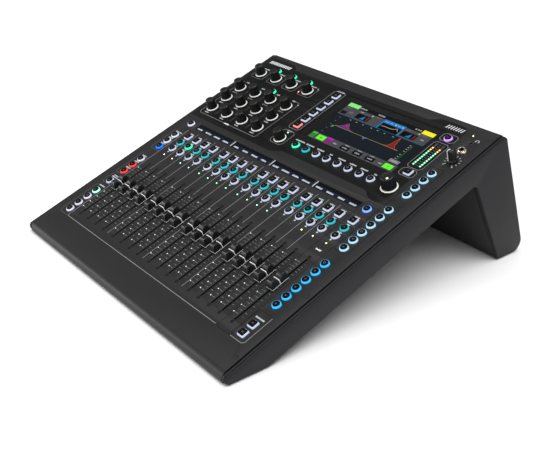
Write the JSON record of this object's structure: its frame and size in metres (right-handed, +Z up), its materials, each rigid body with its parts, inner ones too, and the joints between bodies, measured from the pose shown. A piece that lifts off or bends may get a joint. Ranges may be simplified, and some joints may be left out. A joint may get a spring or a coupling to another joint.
{
  "type": "digital mixing console",
  "caption": "Wedge-shaped desktop mixing console with motor-style faders, rotary encoders, key banks, a touchscreen and a deep rear leg.",
  "frame": {"origin": "centre of the footprint, on the surface that the console stands on", "axes": "+X to the operator's right, +Y to the rear of the console, +Z up; the control panel slopes up towards +Y at 21.4 degrees"},
  "size_m": [0.44, 0.497, 0.1788],
  "materials": {
    "panel_paint": "matt powder coat, fine texture",
    "cheek_plastic": "satin moulded plastic",
    "chassis_paint": "matt powder coat",
    "knob_plastic": "satin, soft touch",
    "fader_cap_plastic": "satin",
    "screen_glass": "gloss",
    "meter_lens": "satin lens",
    "circuit_board": "solder resist",
    "steel": "zinc plated",
    "nickel": "nickel plated",
    "socket_plastic": "moulded",
    "rubber": "matt"
  },
  "bodies": {
    "console_body": {"chassis_tray": "chassis_paint", "control_panel": "panel_paint", "fader_board": "circuit_board", "front_foot": "rubber", "headphone_sockets": "nickel", "left_cheek": "cheek_plastic", "level_meter": "meter_lens", "main_board": "circuit_board", "name_display": "screen_glass", "power_supply": "steel", "rear_foot": "rubber", "rear_panel": "chassis_paint", "rear_sockets": "socket_plastic", "right_cheek": "cheek_plastic", "touchscreen": "screen_glass"},
    "eq_high_knob_1": {"eq_high_knob_1": "knob_plastic"},
    "eq_high_knob_2": {"eq_high_knob_2": "knob_plastic"},
    "eq_high_knob_3": {"eq_high_knob_3": "knob_plastic"},
    "eq_high_knob_4": {"eq_high_knob_4": "knob_plastic"},
    "eq_low_knob_1": {"eq_low_knob_1": "knob_plastic"},
    "eq_low_knob_2": {"eq_low_knob_2": "knob_plastic"},
    "eq_low_knob_3": {"eq_low_knob_3": "knob_plastic"},
    "eq_low_knob_4": {"eq_low_knob_4": "knob_plastic"},
    "eq_mid_knob_1": {"eq_mid_knob_1": "knob_plastic"},
    "eq_mid_knob_2": {"eq_mid_knob_2": "knob_plastic"},
    "eq_mid_knob_3": {"eq_mid_knob_3": "knob_plastic"},
    "eq_mid_knob_4": {"eq_mid_knob_4": "knob_plastic"},
    "fader_cap_01": {"fader_cap_01": "fader_cap_plastic"},
    "fader_cap_02": {"fader_cap_02": "fader_cap_plastic"},
    "fader_cap_03": {"fader_cap_03": "fader_cap_plastic"},
    "fader_cap_04": {"fader_cap_04": "fader_cap_plastic"},
    "fader_cap_05": {"fader_cap_05": "fader_cap_plastic"},
    "fader_cap_06": {"fader_cap_06": "fader_cap_plastic"},
    "fader_cap_07": {"fader_cap_07": "fader_cap_plastic"},
    "fader_cap_08": {"fader_cap_08": "fader_cap_plastic"},
    "fader_cap_09": {"fader_cap_09": "fader_cap_plastic"},
    "fader_cap_10": {"fader_cap_10": "fader_cap_plastic"},
    "fader_cap_11": {"fader_cap_11": "fader_cap_plastic"},
    "fader_cap_12": {"fader_cap_12": "fader_cap_plastic"},
    "fader_cap_13": {"fader_cap_13": "fader_cap_plastic"},
    "fader_cap_14": {"fader_cap_14": "fader_cap_plastic"},
    "fader_cap_15": {"fader_cap_15": "fader_cap_plastic"},
    "fader_cap_16": {"fader_cap_16": "fader_cap_plastic"},
    "fader_cap_master": {"fader_cap_master": "fader_cap_plastic"},
    "input_knob_1": {"input_knob_1": "knob_plastic"},
    "input_knob_2": {"input_knob_2": "knob_plastic"},
    "input_knob_3": {"input_knob_3": "knob_plastic"},
    "input_knob_4": {"input_knob_4": "knob_plastic"},
    "left_column_keys": {"left_column_keys": "knob_plastic"},
    "listen_keys": {"listen_keys": "knob_plastic"},
    "mute_keys": {"mute_keys": "knob_plastic"},
    "pan_knob": {"pan_knob": "knob_plastic"},
    "phones_level_knob": {"phones_level_knob": "knob_plastic"},
    "power_switch": {"power_switch": "socket_plastic"},
    "right_column_keys": {"right_column_keys": "knob_plastic"},
    "screen_row_keys": {"screen_row_keys": "knob_plastic"},
    "screen_side_keys": {"screen_side_keys": "knob_plastic"},
    "section_in_keys": {"section_in_keys": "knob_plastic"},
    "select_keys": {"select_keys": "knob_plastic"},
    "touch_knob": {"touch_knob": "knob_plastic"}
  },
  "joints": [
    {"name": "fader_01_slide", "type": "slide", "parent": "console_body", "child": "fader_cap_01", "axis": [0, 0.9311, 0.3649], "range_m": [-0.0595, 0.0405]},
    {"name": "fader_02_slide", "type": "slide", "parent": "console_body", "child": "fader_cap_02", "axis": [0, 0.9311, 0.3649], "range_m": [-0.0595, 0.0405]},
    {"name": "fader_03_slide", "type": "slide", "parent": "console_body", "child": "fader_cap_03", "axis": [0, 0.9311, 0.3649], "range_m": [-0.0595, 0.0405]},
    {"name": "fader_04_slide", "type": "slide", "parent": "console_body", "child": "fader_cap_04", "axis": [0, 0.9311, 0.3649], "range_m": [-0.0595, 0.0405]},
    {"name": "fader_05_slide", "type": "slide", "parent": "console_body", "child": "fader_cap_05", "axis": [0, 0.9311, 0.3649], "range_m": [-0.0595, 0.0405]},
    {"name": "fader_06_slide", "type": "slide", "parent": "console_body", "child": "fader_cap_06", "axis": [0, 0.9311, 0.3649], "range_m": [-0.0595, 0.0405]},
    {"name": "fader_07_slide", "type": "slide", "parent": "console_body", "child": "fader_cap_07", "axis": [0, 0.9311, 0.3649], "range_m": [-0.0595, 0.0405]},
    {"name": "fader_08_slide", "type": "slide", "parent": "console_body", "child": "fader_cap_08", "axis": [0, 0.9311, 0.3649], "range_m": [-0.0595, 0.0405]},
    {"name": "fader_09_slide", "type": "slide", "parent": "console_body", "child": "fader_cap_09", "axis": [0, 0.9311, 0.3649], "range_m": [-0.0595, 0.0405]},
    {"name": "fader_10_slide", "type": "slide", "parent": "console_body", "child": "fader_cap_10", "axis": [0, 0.9311, 0.3649], "range_m": [-0.0595, 0.0405]},
    {"name": "fader_11_slide", "type": "slide", "parent": "console_body", "child": "fader_cap_11", "axis": [0, 0.9311, 0.3649], "range_m": [-0.0595, 0.0405]},
    {"name": "fader_12_slide", "type": "slide", "parent": "console_body", "child": "fader_cap_12", "axis": [0, 0.9311, 0.3649], "range_m": [-0.0595, 0.0405]},
    {"name": "fader_13_slide", "type": "slide", "parent": "console_body", "child": "fader_cap_13", "axis": [0, 0.9311, 0.3649], "range_m": [-0.0595, 0.0405]},
    {"name": "fader_14_slide", "type": "slide", "parent": "console_body", "child": "fader_cap_14", "axis": [0, 0.9311, 0.3649], "range_m": [-0.0595, 0.0405]},
    {"name": "fader_15_slide", "type": "slide", "parent": "console_body", "child": "fader_cap_15", "axis": [0, 0.9311, 0.3649], "range_m": [-0.0595, 0.0405]},
    {"name": "fader_16_slide", "type": "slide", "parent": "console_body", "child": "fader_cap_16", "axis": [0, 0.9311, 0.3649], "range_m": [-0.0595, 0.0405]},
    {"name": "fader_master_slide", "type": "slide", "parent": "console_body", "child": "fader_cap_master", "axis": [0, 0.9311, 0.3649], "range_m": [-0.0595, 0.0405]},
    {"name": "eq_high_1_turn", "type": "hinge", "parent": "console_body", "child": "eq_high_knob_1", "pos_m": [-0.1923, 0.09103, 0.14619], "axis": [0, -0.3649, 0.9311], "continuous": true},
    {"name": "eq_high_2_turn", "type": "hinge", "parent": "console_body", "child": "eq_high_knob_2", "pos_m": [-0.1573, 0.09103, 0.14619], "axis": [0, -0.3649, 0.9311], "continuous": true},
    {"name": "eq_high_3_turn", "type": "hinge", "parent": "console_body", "child": "eq_high_knob_3", "pos_m": [-0.1226, 0.09103, 0.14619], "axis": [0, -0.3649, 0.9311], "continuous": true},
    {"name": "eq_high_4_turn", "type": "hinge", "parent": "console_body", "child": "eq_high_knob_4", "pos_m": [-0.088, 0.09103, 0.14619], "axis": [0, -0.3649, 0.9311], "continuous": true},
    {"name": "eq_low_1_turn", "type": "hinge", "parent": "console_body", "child": "eq_low_knob_1", "pos_m": [-0.1923, 0.03935, 0.12594], "axis": [0, -0.3649, 0.9311], "continuous": true},
    {"name": "eq_low_2_turn", "type": "hinge", "parent": "console_body", "child": "eq_low_knob_2", "pos_m": [-0.1573, 0.03935, 0.12594], "axis": [0, -0.3649, 0.9311], "continuous": true},
    {"name": "eq_low_3_turn", "type": "hinge", "parent": "console_body", "child": "eq_low_knob_3", "pos_m": [-0.1226, 0.03935, 0.12594], "axis": [0, -0.3649, 0.9311], "continuous": true},
    {"name": "eq_low_4_turn", "type": "hinge", "parent": "console_body", "child": "eq_low_knob_4", "pos_m": [-0.088, 0.03935, 0.12594], "axis": [0, -0.3649, 0.9311], "continuous": true},
    {"name": "eq_mid_1_turn", "type": "hinge", "parent": "console_body", "child": "eq_mid_knob_1", "pos_m": [-0.1923, 0.06533, 0.13612], "axis": [0, -0.3649, 0.9311], "continuous": true},
    {"name": "eq_mid_2_turn", "type": "hinge", "parent": "console_body", "child": "eq_mid_knob_2", "pos_m": [-0.1573, 0.06533, 0.13612], "axis": [0, -0.3649, 0.9311], "continuous": true},
    {"name": "eq_mid_3_turn", "type": "hinge", "parent": "console_body", "child": "eq_mid_knob_3", "pos_m": [-0.1226, 0.06533, 0.13612], "axis": [0, -0.3649, 0.9311], "continuous": true},
    {"name": "eq_mid_4_turn", "type": "hinge", "parent": "console_body", "child": "eq_mid_knob_4", "pos_m": [-0.088, 0.06533, 0.13612], "axis": [0, -0.3649, 0.9311], "continuous": true},
    {"name": "input_1_turn", "type": "hinge", "parent": "console_body", "child": "input_knob_1", "pos_m": [-0.1923, 0.13032, 0.16159], "axis": [0, -0.3649, 0.9311], "continuous": true},
    {"name": "input_2_turn", "type": "hinge", "parent": "console_body", "child": "input_knob_2", "pos_m": [-0.1573, 0.13032, 0.16159], "axis": [0, -0.3649, 0.9311], "continuous": true},
    {"name": "input_3_turn", "type": "hinge", "parent": "console_body", "child": "input_knob_3", "pos_m": [-0.1226, 0.13032, 0.16159], "axis": [0, -0.3649, 0.9311], "continuous": true},
    {"name": "input_4_turn", "type": "hinge", "parent": "console_body", "child": "input_knob_4", "pos_m": [-0.088, 0.13032, 0.16159], "axis": [0, -0.3649, 0.9311], "continuous": true},
    {"name": "pan_turn", "type": "hinge", "parent": "console_body", "child": "pan_knob", "pos_m": [-0.0392, 0.03898, 0.1258], "axis": [0, -0.3649, 0.9311], "continuous": true},
    {"name": "phones_level_turn", "type": "hinge", "parent": "console_body", "child": "phones_level_knob", "pos_m": [0.1943, 0.11105, 0.15404], "axis": [0, -0.3649, 0.9311], "range_deg": [-300, 0]},
    {"name": "touch_turn", "type": "hinge", "parent": "console_body", "child": "touch_knob", "pos_m": [0.1612, 0.03982, 0.12612], "axis": [0, -0.3649, 0.9311], "continuous": true},
    {"name": "mute_keys_press", "type": "slide", "parent": "console_body", "child": "mute_keys", "axis": [0, 0.3649, -0.9311], "range_m": [0, 0.0008], "stiffness_N_per_m": 1500, "springref_m": -0.0008},
    {"name": "select_keys_press", "type": "slide", "parent": "console_body", "child": "select_keys", "axis": [0, 0.3649, -0.9311], "range_m": [0, 0.0008], "stiffness_N_per_m": 1500, "springref_m": -0.0008},
    {"name": "listen_keys_press", "type": "slide", "parent": "console_body", "child": "listen_keys", "axis": [0, 0.3649, -0.9311], "range_m": [0, 0.0008], "stiffness_N_per_m": 1500, "springref_m": -0.0008},
    {"name": "left_column_keys_press", "type": "slide", "parent": "console_body", "child": "left_column_keys", "axis": [0, 0.3649, -0.9311], "range_m": [0, 0.0008], "stiffness_N_per_m": 1500, "springref_m": -0.0008},
    {"name": "right_column_keys_press", "type": "slide", "parent": "console_body", "child": "right_column_keys", "axis": [0, 0.3649, -0.9311], "range_m": [0, 0.0008], "stiffness_N_per_m": 1500, "springref_m": -0.0008},
    {"name": "screen_row_keys_press", "type": "slide", "parent": "console_body", "child": "screen_row_keys", "axis": [0, 0.3649, -0.9311], "range_m": [0, 0.0008], "stiffness_N_per_m": 1500, "springref_m": -0.0008},
    {"name": "screen_side_keys_press", "type": "slide", "parent": "console_body", "child": "screen_side_keys", "axis": [0, 0.3649, -0.9311], "range_m": [0, 0.0008], "stiffness_N_per_m": 1500, "springref_m": -0.0008},
    {"name": "section_in_keys_press", "type": "slide", "parent": "console_body", "child": "section_in_keys", "axis": [0, 0.3649, -0.9311], "range_m": [0, 0.0008], "stiffness_N_per_m": 1500, "springref_m": -0.0008},
    {"name": "power_switch_rock", "type": "hinge", "parent": "console_body", "child": "power_switch", "pos_m": [-0.126, 0.23099, 0.05282], "axis": [1, 0, 0], "range_deg": [0, 25]}
  ]
}
